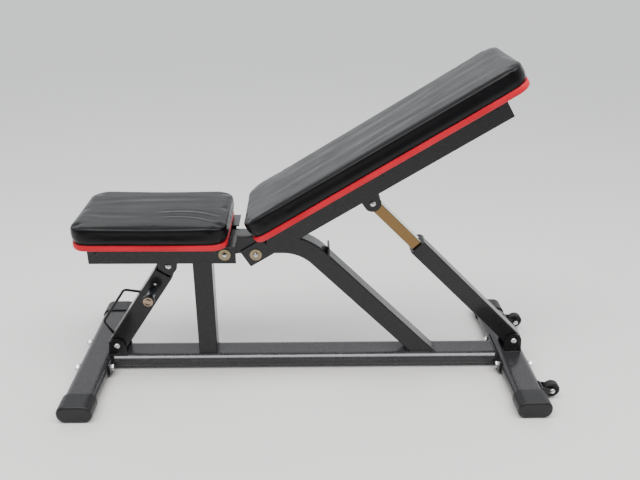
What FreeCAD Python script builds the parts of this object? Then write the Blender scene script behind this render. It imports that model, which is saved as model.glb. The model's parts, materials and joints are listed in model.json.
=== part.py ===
"""Adjustable weight bench: welded steel base, tilting seat, reclining backrest, two telescopic struts.

Frame: millimetres, +X from the seat end to the head end, +Z up, origin on the floor under the
middle of the bench. The near side, with the seat strut's knob, is -Y.
"""
import FreeCAD, Part
import os
from math import atan2, cos, degrees, hypot, pi, radians, sin, sqrt, tan

V = FreeCAD.Vector

# ---- driving dimensions -------------------------------------------------------------------
LENGTH = 1288.0            # overall, front dome nuts to rear wheels
FOOT_SPAN = 515.0          # length of each cross foot over its caps
OVAL_W, OVAL_H, OVAL_R = 80.0, 40.0, 18.0      # flat-oval tube of rail and feet
CAP_T = 4.0                # end caps stand this far proud of the tube, and lift it off the floor
WALL = 2.0                 # tube wall
CHANNEL_T = 2.5            # seat and backrest channel
PLATE_T = 4.0              # ears and brackets

FRONT_FOOT_X = -589.0
REAR_FOOT_X = 556.0
POST_X = -286.0

BEAM = 50.0                # post and bent beam, square
BEAM_TOP = 400.0
BEAM_START_X = -316.0
BEAM_BEND_R = 130.0        # centre-line radius
BEAM_LEG_SUM = 351.4       # x + z on the centre line of the 45 degree leg

SEAT_PIVOT = (-226.0, 350.0)      # x, z of each hinge axis
BACK_PIVOT = (-146.0, 350.0)
SEAT_STRUT_FOOT = (-531.0, 73.0)
SEAT_STRUT_HEAD = (-373.0, 314.0)
BACK_STRUT_FOOT = (558.0, 79.0)
BACK_STRUT_HEAD = (150.0, 486.0)
INCLINE = 32.0             # backrest above horizontal

PAD_W = 260.0
PAD_CORNER = 42.0          # corner radius in plan
PAD_EDGE_R = 12.0          # fillet of the top edge
SEAT_PAD_X = (-586.0, -206.0)
SEAT_PAD_BOTTOM = 406.0
SEAT_PAD_H = 61.0
BACK_PAD_T = (38.0, 775.0)        # along the backrest from its pivot
BACK_PAD_E = 54.5                 # underside above the pivot
BACK_PAD_H = 61.0
BOARD_T = 12.0

CHANNEL_W = 60.0
SEAT_FRAME_X = (-574.5, -197.5)
SEAT_FRAME_BOTTOM = 324.5
BACK_FRAME_T = (-30.0, 720.0)
BACK_FRAME_E = -22.0

BOLT_R = 5.0
FIT = 0.06                 # radial running clearance of pins in bushes
HOLE_GAP = 0.3             # radial clearance of fixed bolts
WASHER_R = 15.5

WHEEL_R, WHEEL_W, AXLE_R = 21.0, 20.0, 4.0
WHEEL_Y = 168.0

REAR_OUTER, REAR_INNER = 45.0, 30.0
FRONT_OUTER, FRONT_INNER = 50.0, 40.0
EAR_R, EAR_HALF_W = 22.0, 25.0       # bracket ears: end radius, half-width at the base
EAR_GAP = 1.5                         # between a strut tube and each ear
PIN_R = 4.0
BARREL_R, KNOB_R, KNOB_H = 10.5, 16.0, 15.0   # pull pins; knob height over its barrel
SPRING_STEP = 2.4
PULL = 10.0                # travel of the pull pins
GLIDE_START, GLIDE_L = 166.0, 100.0           # nylon guide round the backrest strut's inner tube


# ---- small helpers ------------------------------------------------------------------------
def box(x0, x1, y0, y1, z0, z1):
    return Part.makeBox(x1 - x0, y1 - y0, z1 - z0, V(x0, y0, z0))


def rod(x, y0, y1, z, r):
    """Cylinder along Y."""
    return Part.makeCylinder(r, y1 - y0, V(x, y0, z), V(0, 1, 0))


def rod_x(x0, x1, y, z, r):
    """Cylinder along X."""
    return Part.makeCylinder(r, x1 - x0, V(x0, y, z), V(1, 0, 0))


def both_sides(shape):
    """The shape and its mirror across the bench's middle plane."""
    return [shape, shape.mirror(V(0, 0, 0), V(0, 1, 0))]


def round_outline(u0, u1, v0, v1, r):
    """Closed outline of a rounded rectangle in a plane, as points joined by lines and arcs."""
    k = r * (1 - sqrt(0.5))
    corners = [((u1 - r, v0), (u1 - k, v0 + k), (u1, v0 + r)), ((u1, v1 - r), (u1 - k, v1 - k), (u1 - r, v1)),
               ((u0 + r, v1), (u0 + k, v1 - k), (u0, v1 - r)), ((u0, v0 + r), (u0 + k, v0 + k), (u0 + r, v0))]
    return corners


def round_face(u0, u1, v0, v1, r, to3d):
    """Rounded rectangle as a face; to3d turns (u, v) into a point."""
    corners = round_outline(u0, u1, v0, v1, r)
    edges = []
    for i, (a, m, b) in enumerate(corners):
        edges.append(Part.Arc(V(*to3d(*a)), V(*to3d(*m)), V(*to3d(*b))).toShape())
        nxt = corners[(i + 1) % 4][0]
        if hypot(nxt[0] - b[0], nxt[1] - b[1]) > 1e-6:
            edges.append(Part.LineSegment(V(*to3d(*b)), V(*to3d(*nxt))).toShape())
    return Part.Face(Part.Wire(edges))


def bar_x(x0, x1, w, h, r, zc):
    """Solid bar along X with a rounded rectangular section."""
    face = round_face(-w / 2, w / 2, zc - h / 2, zc + h / 2, r, lambda u, v: (x0, u, v))
    return face.extrude(V(x1 - x0, 0, 0))


def tube_x(x0, x1, w, h, r, t, zc=0.0):
    """Hollow tube along X."""
    inner = bar_x(x0 - 1, x1 + 1, w - 2 * t, h - 2 * t, max(r - t, 0.5), zc)
    return bar_x(x0, x1, w, h, r, zc).cut(inner)


def bar_y(y0, y1, xc, w, h, r, zc):
    face = round_face(xc - w / 2, xc + w / 2, zc - h / 2, zc + h / 2, r, lambda u, v: (u, y0, v))
    return face.extrude(V(0, y1 - y0, 0))


def ring(x, z, y0, y1, r_in, r_out):
    return rod(x, y0, y1, z, r_out).cut(rod(x, y0 - 1, y1 + 1, z, r_in))


def hexagon(across_flats, height):
    """Hexagonal prism on +Z with a turned chamfer on its top edge."""
    corner = across_flats / 2 / cos(pi / 6)
    points = [V(corner * cos(i * pi / 3), corner * sin(i * pi / 3), 0) for i in range(7)]
    prism = Part.Face(Part.makePolygon(points)).extrude(V(0, 0, height))
    drop = (corner - across_flats / 2) * 0.6
    cone = Part.makeCylinder(corner, height - drop).fuse(
        Part.makeCone(corner, across_flats / 2, drop, V(0, 0, height - drop)))
    return prism.common(cone)


def dome_nut(height=13.0, across_flats=17.0):
    """Cap nut on +Z: a hexagon with a domed crown."""
    base = hexagon(across_flats, 7.5)
    dome = Part.makeSphere(7.4, V(0, 0, height - 7.4)).common(
        Part.makeCylinder(7.4, height, V(0, 0, 5.0)))
    return base.fuse(dome).removeSplitter()


def along(shape, at, axis):
    """Turn a shape built on +Z to point along axis, and move it to at."""
    out = shape.copy()
    out.Placement = FreeCAD.Placement(V(*at), FreeCAD.Rotation(V(0, 0, 1), V(*axis))).multiply(out.Placement)
    return out


def tilted(shape, pivot, angle):
    """Place a shape drawn along +X so that it points up by angle from the pivot."""
    out = shape.copy()
    turn = FreeCAD.Rotation(V(0, 1, 0), -angle)
    out.Placement = FreeCAD.Placement(V(pivot[0], 0, pivot[1]), turn).multiply(out.Placement)
    return out


def save(name, shapes):
    """Write one node: a solid, or a group of separate solids."""
    if not isinstance(shapes, (list, tuple)):
        shapes = [shapes]
    solids = [s for shape in shapes for s in shape.Solids]
    for solid in solids:
        if not solid.isValid():
            raise ValueError(name + " has a solid that isn't valid")
    out = solids[0] if len(solids) == 1 else Part.Compound(solids)
    out.exportStep("parts/%s.step" % name)
    box_ = out.optimalBoundingBox()
    print("%-28s %2d  x %7.1f %7.1f  y %7.1f %7.1f  z %7.1f %7.1f" % (
        name, len(solids), box_.XMin, box_.XMax, box_.YMin, box_.YMax, box_.ZMin, box_.ZMax))


# ---- cross feet, rail and their bolts -----------------------------------------------------
OVAL_Z = CAP_T + OVAL_H / 2            # centre height of rail and feet
OVAL_TOP = CAP_T + OVAL_H
FOOT_TUBE_Y = 240.0
CAP_BACK_Y = 202.0
FLANGE_T, FLANGE_Y, FLANGE_BOLT_Y = 5.0, 78.0, 60.0
HEX_H = 6.4
WASHER_T = 2.0


def foot_envelope(xc):
    return bar_y(-FOOT_TUBE_Y, FOOT_TUBE_Y, xc, OVAL_W, OVAL_H, OVAL_R, OVAL_Z)


def foot_tube(xc):
    bore = bar_y(-FOOT_TUBE_Y - 1, FOOT_TUBE_Y + 1, xc, OVAL_W - 2 * WALL, OVAL_H - 2 * WALL,
                 OVAL_R - WALL, OVAL_Z)
    tube = foot_envelope(xc).cut(bore)
    for y in (-FLANGE_BOLT_Y, FLANGE_BOLT_Y):
        tube = tube.cut(rod_x(xc - OVAL_W, xc + OVAL_W, y, OVAL_Z, BOLT_R + HOLE_GAP))
    return tube


def foot_caps(xc):
    end = FOOT_SPAN / 2
    w, h, r = OVAL_W + 2 * CAP_T, OVAL_H + 2 * CAP_T, OVAL_R + CAP_T
    body = bar_y(CAP_BACK_Y, end, xc, w, h, r, OVAL_Z)
    rim = [e for e in body.Edges if abs(e.BoundBox.YMin - end) < 0.01]
    body = body.makeFillet(6.0, rim)
    return both_sides(body.cut(foot_envelope(xc)))


def flange(x0, x1):
    plate = round_face(-FLANGE_Y, FLANGE_Y, OVAL_Z - 18, OVAL_Z + 18, 10, lambda u, v: (x0, u, v))
    plate = plate.extrude(V(x1 - x0, 0, 0))
    for y in (-FLANGE_BOLT_Y, FLANGE_BOLT_Y):
        plate = plate.cut(rod_x(x0 - 1, x1 + 1, y, OVAL_Z, BOLT_R + HOLE_GAP))
    return plate


def foot_bolts(inner_x, outer_x, way):
    """Hex bolts from the rail side (inner_x) through the foot to its outer side (outer_x)."""
    bolts, washers, nuts = [], [], []
    for y in (-FLANGE_BOLT_Y, FLANGE_BOLT_Y):
        head = along(hexagon(17.0, HEX_H), (inner_x, y, OVAL_Z), (-way, 0, 0))
        tip = outer_x + way * (WASHER_T + 7.0)
        shank = rod_x(min(inner_x, tip), max(inner_x, tip), y, OVAL_Z, BOLT_R)
        bolts.append(head.fuse(shank).removeSplitter())
        x0, x1 = sorted((outer_x, outer_x + way * WASHER_T))
        washers.append(rod_x(x0, x1, y, OVAL_Z, 10.0).cut(rod_x(x0 - 1, x1 + 1, y, OVAL_Z, BOLT_R + 0.2)))
        nut = along(dome_nut(), (outer_x + way * WASHER_T, y, OVAL_Z), (way, 0, 0))
        nuts.append(nut.cut(shank))
    return bolts, washers, nuts


# ---- bent beam and post -------------------------------------------------------------------
BEAM_Z = BEAM_TOP - BEAM / 2
BEAM_R = 4.0
BUSH_R = 9.0


def beam_solid(w, h, r, start_x):
    """Bar that runs level from start_x, bends down 45 degrees and passes below the rail's top."""
    corner_x = BEAM_LEG_SUM - BEAM_Z
    tangent = BEAM_BEND_R * tan(radians(22.5))
    bend_x = corner_x - tangent
    face = round_face(-w / 2, w / 2, BEAM_Z - h / 2, BEAM_Z + h / 2, r, lambda u, v: (start_x, u, v))
    level = face.extrude(V(bend_x - start_x, 0, 0))
    section = face.translated(V(bend_x - start_x, 0, 0))
    bend = section.revolve(V(bend_x, 0, BEAM_Z - BEAM_BEND_R), V(0, 1, 0), 45)
    end = section.rotated(V(bend_x, 0, BEAM_Z - BEAM_BEND_R), V(0, 1, 0), 45)
    leg = end.extrude(V(1, 0, -1) * 330)
    return level.fuse([bend, leg]).removeSplitter()


def bent_beam():
    tube = beam_solid(BEAM, BEAM, BEAM_R, BEAM_START_X).cut(
        beam_solid(BEAM - 2 * WALL, BEAM - 2 * WALL, BEAM_R - WALL, BEAM_START_X - 1))
    tube = tube.cut(box(-400, 900, -100, 100, -300, OVAL_TOP))
    for x, z in (SEAT_PIVOT, BACK_PIVOT):
        tube = tube.cut(rod(x, -40, 40, z, BUSH_R))
    return tube


def pivot_bush(pivot):
    return ring(pivot[0], pivot[1], -26.5, 26.5, BOLT_R + FIT, BUSH_R)


def stop_plate():
    """Upright tab across the top of the bend."""
    tab = round_face(-25, 25, 335, 366, 4, lambda u, v: (39.0, u, v)).extrude(V(5, 0, 0))
    return tab.cut(beam_solid(BEAM, BEAM, BEAM_R, BEAM_START_X))


# ---- ears, pivot bolts --------------------------------------------------------------------
def ear_outline(x, z, r, base_z, half_w):
    """Plate profile in the XZ plane: round about (x, z), with straight sides to base_z."""
    side = -1 if base_z < z else 1
    tip = V(x, 0, z - side * r)
    left, right = V(x - r, 0, z), V(x + r, 0, z)
    lines = [V(x + half_w, 0, base_z), V(x - half_w, 0, base_z)]
    edges = [Part.Arc(left, tip, right).toShape(), Part.LineSegment(right, lines[0]).toShape(),
             Part.LineSegment(lines[0], lines[1]).toShape(), Part.LineSegment(lines[1], left).toShape()]
    return Part.Face(Part.Wire(edges))


def u_bracket(x, z, r, base_z, half_w, gap, base_y, base_t=PLATE_T):
    """Two ears, gap apart, joined by a base plate of half-width base_y on the far side of the pivot."""
    ear = ear_outline(x, z, r, base_z, half_w)
    ears = both_sides(ear.extrude(V(0, PLATE_T, 0)).translated(V(0, gap / 2, 0)))
    z0, z1 = (base_z, base_z + base_t) if base_z < z else (base_z - base_t, base_z)
    base = box(x - half_w, x + half_w, -base_y, base_y, z0, z1)
    out = ears[0].fuse([ears[1], base]).removeSplitter()
    return out.cut(rod(x, -60, 60, z, BOLT_R + FIT))


def button_head(radius, height):
    """Domed bolt head on +Z."""
    crown = (radius ** 2 + height ** 2) / (2 * height)
    return Part.makeSphere(crown, V(0, 0, height - crown)).common(Part.makeCylinder(radius, height))


def pivot_bolt(x, z, half_grip, head_r=8.5, nut_h=8.0):
    """Bolt along Y: domed head on the near side, shank to the far side's nut."""
    head = along(button_head(head_r, HEX_H), (x, -half_grip, z), (0, -1, 0))
    shank = rod(x, -half_grip, half_grip + nut_h + 2, z, BOLT_R)
    nut = along(hexagon(17.0, nut_h), (x, half_grip, z), (0, 1, 0)).cut(shank)
    return head.fuse(shank).removeSplitter(), nut


def split_bolt(x, z, gap, half_grip, nut_h=8.0):
    """Head end and nut end of a pivot bolt, each reaching only through its own ear."""
    clear = 0.4
    head = along(button_head(8.5, HEX_H), (x, -half_grip, z), (0, -1, 0))
    near = head.fuse(rod(x, -half_grip, -gap / 2 - clear, z, BOLT_R)).removeSplitter()
    nut = along(hexagon(17.0, nut_h), (x, half_grip, z), (0, 1, 0))
    far = nut.fuse(rod(x, gap / 2 + clear, half_grip + nut_h + 2, z, BOLT_R)).removeSplitter()
    return [near, far]


# ---- seat and backrest --------------------------------------------------------------------
def channel(u0, u1, bottom, top, notch_u, notch_drop):
    """Channel open at the bottom; its web, and walls down by notch_drop, stop at notch_u."""
    t, half = CHANNEL_T, CHANNEL_W / 2
    outer = bar_x(u0, u1, CHANNEL_W, 2 * (top - bottom), 4.0, bottom)
    inner = bar_x(u0 - 1, u1 + 1, CHANNEL_W - 2 * t, 2 * (top - bottom - t), 2.0, bottom)
    body = outer.cut(inner).cut(box(u0 - 1, u1 + 1, -half - 1, half + 1, bottom - 200, bottom))
    lo, hi = (u0 - 1, notch_u) if notch_u - u0 < u1 - notch_u else (notch_u, u1 + 1)
    web_cut = box(lo, hi, -half + t, half - t, top - t - 3, top + 1)
    wall_cut = box(lo, hi, -half - 1, half + 1, top - notch_drop, top + 1)
    return body.cut(web_cut).cut(wall_cut)


WING_REACH, WING_SCREW_Y = 100.0, 82.0
WING_T, WING_LEG = 3.0, 20.0
SCREW_R, SCREW_HEAD_R, SCREW_HEAD_H = 3.0, 6.0, 3.0
SCREW_DEPTH = 6.5                      # how far a screw goes into the plywood


def wing(span, top):
    """Angle bracket pair under a pad, welded to the channel's sides."""
    u0, u1, screw_u = span
    flat = box(u0, u1, CHANNEL_W / 2, WING_REACH, top - WING_T, top)
    down = box(u0, u0 + WING_T, CHANNEL_W / 2, WING_REACH, top - WING_LEG, top)
    hole = Part.makeCylinder(SCREW_R + HOLE_GAP, 2 * WING_LEG, V(screw_u, WING_SCREW_Y, top - WING_LEG))
    return both_sides(flat.fuse(down).removeSplitter().cut(hole))


def wing_screws(span, top):
    """Pan-head screws from below through the wings into the board."""
    screws = []
    for y in (-WING_SCREW_Y, WING_SCREW_Y):
        head = Part.makeCylinder(SCREW_HEAD_R, SCREW_HEAD_H, V(span[2], y, top - WING_T - SCREW_HEAD_H))
        shank = Part.makeCylinder(SCREW_R, WING_T + SCREW_DEPTH, V(span[2], y, top - WING_T))
        screws.append(head.fuse(shank).removeSplitter())
    return screws


def pad_solid(u0, u1, bottom, height):
    """Cushion as a closed solid: rounded in plan, with a rounded top edge."""
    face = round_face(u0, u1, -PAD_W / 2, PAD_W / 2, PAD_CORNER, lambda u, v: (u, v, bottom))
    body = face.extrude(V(0, 0, height))
    rim = [e for e in body.Edges if abs(e.BoundBox.ZMin - bottom - height) < 0.01]
    return body.makeFillet(PAD_EDGE_R, rim)


def board(u0, u1, bottom):
    """Plywood base let into the underside of the cushion."""
    inset = 16.0
    face = round_face(u0 + inset, u1 - inset, -PAD_W / 2 + inset, PAD_W / 2 - inset, PAD_CORNER - inset,
                      lambda u, v: (u, v, bottom))
    return face.extrude(V(0, 0, BOARD_T))


def screwed_board(u0, u1, bottom, wing_spans):
    plate = board(u0, u1, bottom)
    for span in wing_spans:
        for y in (-WING_SCREW_Y, WING_SCREW_Y):
            plate = plate.cut(Part.makeCylinder(SCREW_R, SCREW_DEPTH, V(span[2], y, bottom)))
    return plate


# ---- struts -------------------------------------------------------------------------------
def strut_tube(s0, s1, w, r=3.0):
    return tube_x(s0, s1, w, w, r, WALL)


def inner_tube(s0, s1, w, holes, side):
    """Inner strut tube with a round head, a pivot bore and a row of pin holes in one side."""
    tube = strut_tube(s0, s1, w)
    head = rod(s1, -w, w, 0, w / 2).fuse(box(s0 - 1, s1, -w, w, -w, w))
    tube = strut_tube(s0, s1 + w / 2, w).common(head)
    tube = tube.cut(rod(s1, -w, w, 0, BOLT_R + 0.5))
    y0, y1 = sorted((side * (w / 2 - WALL - 2), side * (w / 2 + 2)))
    for s in holes:
        tube = tube.cut(rod(s, y0, y1, 0, PIN_R + 0.5))
    return tube


def mouth_sleeve(mouth, outer, inner, length, pin_s, side, proud=3.5):
    """Plastic liner in the outer tube's mouth, with a collar outside it."""
    bore = outer - 2 * WALL
    body = bar_x(mouth - length, mouth, bore - 0.02, bore - 0.02, 2.4, 0)
    collar = bar_x(mouth, mouth + proud, outer, outer, 3.0, 0)
    liner = body.fuse(collar).removeSplitter().cut(
        bar_x(mouth - length - 1, mouth + proud + 1, inner + 0.6, inner + 0.6, 3.0, 0))
    y0, y1 = sorted((0, side * outer))
    return liner.cut(rod(pin_s, y0, y1, 0, PIN_R + 0.6))


def pin_parts(s, side, outer, inner, barrel_l):
    """Pull pin on one side of a strut: barrel, pin, knob and spring, drawn along +Y then mirrored."""
    face, rod_r = outer / 2, PIN_R - 1.5
    top = face + barrel_l
    barrel = ring(s, 0, face, top, BARREL_R - 3.5, BARREL_R)
    barrel = barrel.fuse(ring(s, 0, top - 3, top, rod_r + HOLE_GAP, BARREL_R - 3.5)).removeSplitter()
    tip = inner / 2 + 0.6
    pin = rod(s, tip, face + 4.0, 0, PIN_R).fuse(rod(s, face + 2.0, face + 4.5, 0, PIN_R + 2.2))
    pin = pin.fuse(rod(s, face + 4.0, top + 10.0, 0, rod_r)).removeSplitter()
    knob = rod(s, top + 1.0, top + 4.0, 0, KNOB_R - 4).fuse(rod(s, top + 3.0, top + KNOB_H, 0, KNOB_R))
    circles = [e for e in knob.Edges if e.Curve.TypeId == "Part::GeomCircle"]
    rim = [e for e in circles if abs(e.Curve.Radius - KNOB_R) < 0.01]
    knob = knob.makeFillet(2.0, rim).cut(rod(s, top - 1, top + 10.0, 0, rod_r))
    coils = 1 + int((barrel_l - 3.6 - PULL - 5.6) / SPRING_STEP)
    turns = [Part.makeTorus(4.6, 0.5, V(s, top - 3.6 - SPRING_STEP * i, 0), V(0, 1, 0)) for i in range(coils)]
    shapes = {"barrel": barrel, "pin": pin, "knob": knob, "spring": Part.Compound(turns)}
    if side < 0:
        shapes = {k: v.mirror(V(0, 0, 0), V(0, 1, 0)) for k, v in shapes.items()}
    return shapes


def wire_loop(points, r, bend):
    """Round bar along straight runs in the XZ plane, with tangent arcs at the inner points."""
    pts = [V(p[0], 0, p[1]) for p in points]
    edges, last = [], pts[0]
    for a, b, c in zip(pts, pts[1:], pts[2:]):
        d0, d1 = (a - b).normalize(), (c - b).normalize()
        half = d0.getAngle(d1) / 2
        cut = bend / tan(half)
        middle = (d0 + d1).normalize()
        mid = b + middle * (bend / sin(half) - bend)
        edges.append(Part.LineSegment(last, b + d0 * cut).toShape())
        edges.append(Part.Arc(b + d0 * cut, mid, b + d1 * cut).toShape())
        last = b + d1 * cut
    edges.append(Part.LineSegment(last, pts[-1]).toShape())
    path = Part.Wire(edges)
    profile = Part.Wire(Part.makeCircle(r, pts[0], pts[1] - pts[0]))
    return path.makePipeShell([profile], True, False)


# ---- transport wheels ---------------------------------------------------------------------
WHEEL_X = LENGTH / 2 - WHEEL_R
WHEEL_Z = WHEEL_R + 4.0
FOOT_OUT_X = REAR_FOOT_X + OVAL_W / 2


def wheel(y):
    body = rod(WHEEL_X, y - WHEEL_W / 2, y + WHEEL_W / 2, WHEEL_Z, WHEEL_R)
    edges = [e for e in body.Edges if e.Curve.TypeId == "Part::GeomCircle"]
    body = body.makeFillet(3.0, edges)
    for a, b in ((-1, -WHEEL_W / 2 + 3), (WHEEL_W / 2 - 3, WHEEL_W)):
        y0, y1 = (y - WHEEL_W, y + b) if a < 0 else (y + a, y + b)
        body = body.cut(ring(WHEEL_X, WHEEL_Z, y0, y1, 8.0, 15.0))
    return body.cut(rod(WHEEL_X, y - 20, y + 20, WHEEL_Z, AXLE_R + FIT))


def wheel_bracket(y):
    """Two side plates from the foot to the axle, joined by a plate on the foot."""
    x0, low, high = FOOT_OUT_X - 10.0, WHEEL_Z - 12.0, WHEEL_Z + 12.0
    end_r = 9.0
    face = Part.Face(Part.Wire([
        Part.LineSegment(V(x0, 0, high), V(WHEEL_X, 0, WHEEL_Z + end_r)).toShape(),
        Part.Arc(V(WHEEL_X, 0, WHEEL_Z + end_r), V(WHEEL_X + end_r, 0, WHEEL_Z),
                 V(WHEEL_X, 0, WHEEL_Z - end_r)).toShape(),
        Part.LineSegment(V(WHEEL_X, 0, WHEEL_Z - end_r), V(x0, 0, low)).toShape(),
        Part.LineSegment(V(x0, 0, low), V(x0, 0, high)).toShape()]))
    half = WHEEL_W / 2 + 1.0
    sides = [face.extrude(V(0, 3, 0)).translated(V(0, y + half, 0)),
             face.extrude(V(0, 3, 0)).translated(V(0, y - half - 3, 0))]
    back = box(FOOT_OUT_X - 6, FOOT_OUT_X + 3, y - half, y + half, low + 1, high - 1)
    body = sides[0].fuse([sides[1], back]).removeSplitter()
    body = body.cut(foot_envelope(REAR_FOOT_X))
    return body.cut(rod(WHEEL_X, y - 30, y + 30, WHEEL_Z, AXLE_R + FIT))


def wheel_axle(y, side):
    """Button-head axle bolt from the outer side, with its nut inside."""
    half = WHEEL_W / 2 + 4.0
    far, near = y + side * half, y - side * half
    head = along(button_head(7.0, 4.5), (WHEEL_X, far, WHEEL_Z), (0, side, 0))
    y0, y1 = sorted((far, near - side * 7.0))
    shank = rod(WHEEL_X, y0, y1, WHEEL_Z, AXLE_R)
    nut = along(hexagon(13.0, 6.0), (WHEEL_X, near, WHEEL_Z), (0, -side, 0)).cut(shank)
    return head.fuse(shank).removeSplitter(), nut


# ---- build --------------------------------------------------------------------------------
def build_base():
    front_in, front_out = FRONT_FOOT_X + OVAL_W / 2, FRONT_FOOT_X - OVAL_W / 2
    rear_in = REAR_FOOT_X - OVAL_W / 2
    save("front_foot_tube", foot_tube(FRONT_FOOT_X))
    save("rear_foot_tube", foot_tube(REAR_FOOT_X))
    save("front_foot_caps", foot_caps(FRONT_FOOT_X))
    save("rear_foot_caps", foot_caps(REAR_FOOT_X))
    save("base_rail", tube_x(front_in + FLANGE_T, rear_in - FLANGE_T, OVAL_W, OVAL_H, OVAL_R, WALL, OVAL_Z))
    save("front_rail_flange", flange(front_in, front_in + FLANGE_T))
    save("rear_rail_flange", flange(rear_in - FLANGE_T, rear_in))
    front = foot_bolts(front_in + FLANGE_T, front_out, -1)
    rear = foot_bolts(rear_in - FLANGE_T, FOOT_OUT_X, 1)
    for name, a, b in zip(("foot_bolts", "foot_bolt_washers", "foot_dome_nuts"), front, rear):
        save(name, a + b)
    post = tube_x(OVAL_TOP, BEAM_TOP - BEAM, BEAM, BEAM, BEAM_R, WALL)
    post.Placement = FreeCAD.Placement(V(POST_X, 0, 0), FreeCAD.Rotation(V(0, 1, 0), -90))
    save("support_post", post)
    save("bent_beam", bent_beam())
    bore = BEAM - 2 * WALL
    plug = bar_x(BEAM_START_X - 3, BEAM_START_X, BEAM, BEAM, BEAM_R, BEAM_Z)
    stem = bar_x(BEAM_START_X, BEAM_START_X + 15, bore, bore, BEAM_R - WALL, BEAM_Z)
    save("beam_end_plug", plug.fuse(stem).removeSplitter())
    save("seat_pivot_bush", pivot_bush(SEAT_PIVOT))
    save("back_pivot_bush", pivot_bush(BACK_PIVOT))
    save("backrest_stop_plate", stop_plate())
    x, z = SEAT_STRUT_FOOT
    half = FRONT_OUTER / 2 + EAR_GAP
    save("seat_strut_foot_bracket", u_bracket(x, z, EAR_R, OVAL_TOP, EAR_HALF_W, 2 * half, half + PLATE_T, 3.0))
    bolt, nut = pivot_bolt(x, z, half + PLATE_T)
    save("seat_strut_foot_bolt", [bolt, nut])
    x, z = BACK_STRUT_FOOT
    half = REAR_OUTER / 2 + EAR_GAP
    ears = u_bracket(x, z, EAR_R, OVAL_TOP - 1.0, EAR_HALF_W, 2 * half, half + PLATE_T)
    save("back_strut_foot_bracket", ears.cut(foot_envelope(REAR_FOOT_X)))
    for side, name in ((-1, "near"), (1, "far")):
        y = side * WHEEL_Y
        save("%s_wheel_bracket" % name, wheel_bracket(y))
        save("%s_transport_wheel" % name, wheel(y))
    axles = [wheel_axle(side * WHEEL_Y, side) for side in (-1, 1)]
    save("wheel_axle_bolts", [a for a, _ in axles])
    save("wheel_axle_nuts", [n for _, n in axles])


PIVOT_GRIP = CHANNEL_W / 2            # outer face of the channel walls
BIG_WASHER_T = 2.5
SEAT_WINGS = ((-245.0, -191.0, -232.0), (-535.0, -505.0, -520.0))          # start, end and screw of each
BACK_WINGS = ((55.0, 85.0, 70.0), (385.0, 415.0, 400.0), (685.0, 715.0, 700.0))


def big_washers(pivot):
    x, z = pivot
    return both_sides(ring(x, z, PIVOT_GRIP, PIVOT_GRIP + BIG_WASHER_T, BOLT_R + 0.2, WASHER_R))


def build_seat():
    x, z = SEAT_PIVOT
    frame = channel(SEAT_FRAME_X[0], SEAT_FRAME_X[1], SEAT_FRAME_BOTTOM, SEAT_PAD_BOTTOM, x - 14, 0.01)
    frame = frame.cut(rod(x, -40, 40, z, BOLT_R + FIT))
    save("seat_frame", frame)
    save("seat_wings", [s for span in SEAT_WINGS for s in wing(span, SEAT_PAD_BOTTOM)])
    save("seat_screws", [s for span in SEAT_WINGS for s in wing_screws(span, SEAT_PAD_BOTTOM)])
    save("seat_pivot_washers", big_washers(SEAT_PIVOT))
    bolt, nut = pivot_bolt(x, z, PIVOT_GRIP + BIG_WASHER_T, 7.0)
    save("seat_pivot_bolt", [bolt, nut])
    plate = screwed_board(SEAT_PAD_X[0], SEAT_PAD_X[1], SEAT_PAD_BOTTOM, SEAT_WINGS)
    save("seat_board", plate)
    pad = pad_solid(SEAT_PAD_X[0], SEAT_PAD_X[1], SEAT_PAD_BOTTOM, SEAT_PAD_H)
    save("seat_pad", pad.cut(board(SEAT_PAD_X[0], SEAT_PAD_X[1], SEAT_PAD_BOTTOM)))
    hx, hz = SEAT_STRUT_HEAD
    gap = FRONT_INNER + 2
    save("seat_strut_head_bracket", u_bracket(hx, hz, EAR_R, hz + 31, EAR_HALF_W, gap, CHANNEL_W / 2 - CHANNEL_T))
    save("seat_strut_head_bolt", split_bolt(hx, hz, gap, gap / 2 + PLATE_T))


def on_backrest(shape):
    return tilted(shape, BACK_PIVOT, INCLINE)


def backrest_local(point):
    """World x, z to the backrest's own along and above coordinates."""
    dx, dz = point[0] - BACK_PIVOT[0], point[1] - BACK_PIVOT[1]
    a = radians(INCLINE)
    return dx * cos(a) + dz * sin(a), -dx * sin(a) + dz * cos(a)


def build_backrest():
    frame = channel(BACK_FRAME_T[0], BACK_FRAME_T[1], BACK_FRAME_E, BACK_PAD_E, 26.0, 27.0)
    frame = frame.cut(rod(0, -40, 40, 0, BOLT_R + FIT))
    save("backrest_frame", on_backrest(frame))
    save("backrest_wings", [on_backrest(s) for span in BACK_WINGS for s in wing(span, BACK_PAD_E)])
    save("backrest_screws", [on_backrest(s) for span in BACK_WINGS for s in wing_screws(span, BACK_PAD_E)])
    plate = screwed_board(BACK_PAD_T[0], BACK_PAD_T[1], BACK_PAD_E, BACK_WINGS)
    save("backrest_board", on_backrest(plate))
    pad = pad_solid(BACK_PAD_T[0], BACK_PAD_T[1], BACK_PAD_E, BACK_PAD_H)
    save("backrest_pad", on_backrest(pad.cut(board(BACK_PAD_T[0], BACK_PAD_T[1], BACK_PAD_E))))
    t, e = backrest_local(BACK_STRUT_HEAD)
    gap = REAR_INNER + 2
    bracket = u_bracket(t, e, EAR_R, BACK_FRAME_E + 34.0, EAR_HALF_W, gap, CHANNEL_W / 2 - CHANNEL_T)
    save("back_strut_head_bracket", on_backrest(bracket))
    save("back_strut_head_bolt", [on_backrest(s) for s in split_bolt(t, e, gap, gap / 2 + PLATE_T)])
    x, z = BACK_PIVOT
    bolt, nut = pivot_bolt(x, z, PIVOT_GRIP + BIG_WASHER_T, 7.0)
    save("back_pivot_bolt", [bolt, nut])
    save("back_pivot_washers", big_washers(BACK_PIVOT))


def strut_span(foot, head):
    dx, dz = head[0] - foot[0], head[1] - foot[1]
    return hypot(dx, dz), degrees(atan2(dz, dx))


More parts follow.
